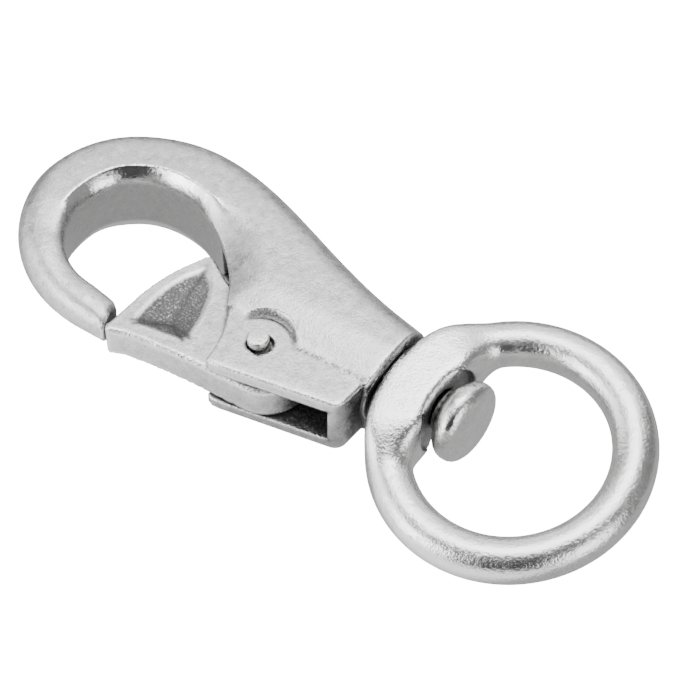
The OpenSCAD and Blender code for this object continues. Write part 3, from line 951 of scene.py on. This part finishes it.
class SNAPHOOK_OT_casting(Operator):
    """Skins the casting with softened cast edges and a blasted satin finish"""

    bl_idname = "snap_hook.casting"
    bl_label = "Hook casting"

    def execute(self, context):
        sizes, finish = context.scene.snap_hook_sizes, context.scene.snap_hook_finish
        rounds = sizes.skin_soft
        piece = cast_skin("hook_body", "hook_casting", sizes.skin_mesh, rounds, CASTING_EDGE, "hook")
        mark_eye_bevel(piece)
        write_attribute(piece, "recess", cut_spot_groove(piece))
        dress(piece, metal("Blasted casting", finish.satin, "blasted"))
        return {"FINISHED"}


class SNAPHOOK_OT_gate(Operator):
    """Skins the gate and its finger recesses in the casting's finish"""

    bl_idname = "snap_hook.gate"
    bl_label = "Gate"

    def execute(self, context):
        sizes, finish = context.scene.snap_hook_sizes, context.scene.snap_hook_finish
        piece = cast_skin("gate", "gate_plate", sizes.gate_mesh, GATE_ROUNDS, GATE_EDGE, "gate")
        mark_recess(piece)
        dress(piece, metal("Blasted gate", finish.satin, "blasted"))
        return {"FINISHED"}


class SNAPHOOK_OT_ring(Operator):
    """Skins the ring eye with a bright tumbled finish"""

    bl_idname = "snap_hook.ring"
    bl_label = "Swivel ring"

    def execute(self, context):
        sizes, finish = context.scene.snap_hook_sizes, context.scene.snap_hook_finish
        piece = cast_skin("swivel_eye", "ring_eye", sizes.ring_mesh, sizes.skin_soft, RING_EDGE, "ring")
        dress(piece, metal("Tumbled ring", finish.bright, "tumbled"))
        return {"FINISHED"}


class SNAPHOOK_OT_stud(Operator):
    """Gives the stud and the spring smooth skins and their finishes"""

    bl_idname = "snap_hook.stud"
    bl_label = "Stud and spring"

    def execute(self, context):
        finish = context.scene.snap_hook_finish
        bright = metal("Tumbled stud", finish.bright, "tumbled")
        wire = metal("Spring wire", finish.wire, "drawn")
        turned_skin("swivel_stud", "swivel_rivet", "hook", bright)
        turned_skin("gate_spring", "torsion_spring", "gate", wire)
        return {"FINISHED"}


class SNAPHOOK_OT_pin(Operator):
    """Turns the hinge pin with flat ends and small rounded rims"""

    bl_idname = "snap_hook.pin"
    bl_label = "Hinge pin"

    def execute(self, context):
        sizes, finish = context.scene.snap_hook_sizes, context.scene.snap_hook_finish
        low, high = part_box("gate_pin")
        deselect_all()
        bpy.ops.mesh.primitive_cylinder_add(
            vertices=64, radius=(high[1] - low[1]) / 2, depth=high[2] - low[2],
            location=(low + high) / 2,
        )
        piece = context.active_object
        piece.name = piece.data.name = "hinge_pin"
        bpy.ops.object.transform_apply()
        edit_edges(piece, lambda edge: abs(edge.verts[0].co.z - edge.verts[1].co.z) < 1e-7)
        bpy.ops.mesh.bevel(offset=sizes.pin_rim, segments=4)
        bpy.ops.object.mode_set(mode="OBJECT")
        bpy.ops.object.shade_smooth_by_angle(angle=math.radians(PIN_EDGE))
        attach(piece, "hook")
        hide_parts("gate_pin")
        dress(piece, metal("Polished pin", finish.bright, "tumbled"))
        return {"FINISHED"}


class SNAPHOOK_OT_stage(Operator):
    """Sets the floor, the soft studio lights and the camera"""

    bl_idname = "snap_hook.stage"
    bl_label = "Stage"

    def execute(self, context):
        stage = context.scene.snap_hook_stage
        deselect_all()
        bpy.ops.mesh.primitive_plane_add(size=FLOOR_SIZE, location=(0, 0, -FLOOR_GAP))
        floor = context.active_object
        floor.name = "studio_floor"
        floor.data.materials.append(floor_material(stage.floor, stage.glow, stage.reflected))
        context.scene.world = studio_world()
        for box in SOFTBOXES:
            softbox(*box)

        centre = Vector(stage.aim)
        away = direction(stage.azimuth - math.pi / 2, stage.elevation)
        data = bpy.data.cameras.new("Studio camera")
        data.lens = stage.lens
        data.sensor_width = SENSOR_WIDTH
        data.clip_start, data.clip_end = CLIP
        camera = bpy.data.objects.new("Studio camera", data)
        context.scene.collection.objects.link(camera)
        camera.location = centre + away * stage.distance
        camera.rotation_mode = "QUATERNION"
        camera.rotation_quaternion = (-away).to_track_quat("-Z", "Y")
        context.scene.camera = camera
        return {"FINISHED"}


STEPS = ("casting", "gate", "ring", "stud", "pin", "stage")


class SNAPHOOK_PT_side(Panel):
    """Lists the settings and the steps"""

    bl_idname = "SNAPHOOK_PT_side"
    bl_label = "Snap Hook"
    bl_space_type = "VIEW_3D"
    bl_region_type = "UI"
    bl_category = "Snap Hook"

    def draw(self, context):
        scene = context.scene
        for settings in (scene.snap_hook_sizes, scene.snap_hook_finish, scene.snap_hook_stage):
            box = self.layout.box()
            for name in settings.bl_rna.properties.keys():
                if name not in ("rna_type", "name"):
                    box.prop(settings, name)
        for step in STEPS:
            self.layout.operator("snap_hook." + step)


CLASSES = (
    SnapHookSizes,
    SnapHookFinish,
    SnapHookStage,
    SNAPHOOK_OT_casting,
    SNAPHOOK_OT_gate,
    SNAPHOOK_OT_ring,
    SNAPHOOK_OT_stud,
    SNAPHOOK_OT_pin,
    SNAPHOOK_OT_stage,
    SNAPHOOK_PT_side,
)


def register():
    for cls in CLASSES:
        bpy.utils.register_class(cls)
    bpy.types.Scene.snap_hook_sizes = PointerProperty(type=SnapHookSizes)
    bpy.types.Scene.snap_hook_finish = PointerProperty(type=SnapHookFinish)
    bpy.types.Scene.snap_hook_stage = PointerProperty(type=SnapHookStage)


def unregister():
    del bpy.types.Scene.snap_hook_stage
    del bpy.types.Scene.snap_hook_finish
    del bpy.types.Scene.snap_hook_sizes
    for cls in reversed(CLASSES):
        bpy.utils.unregister_class(cls)


def main():
    register()
    for step in STEPS:
        getattr(bpy.ops.snap_hook, step)()


if __name__ == "__main__":
    main()
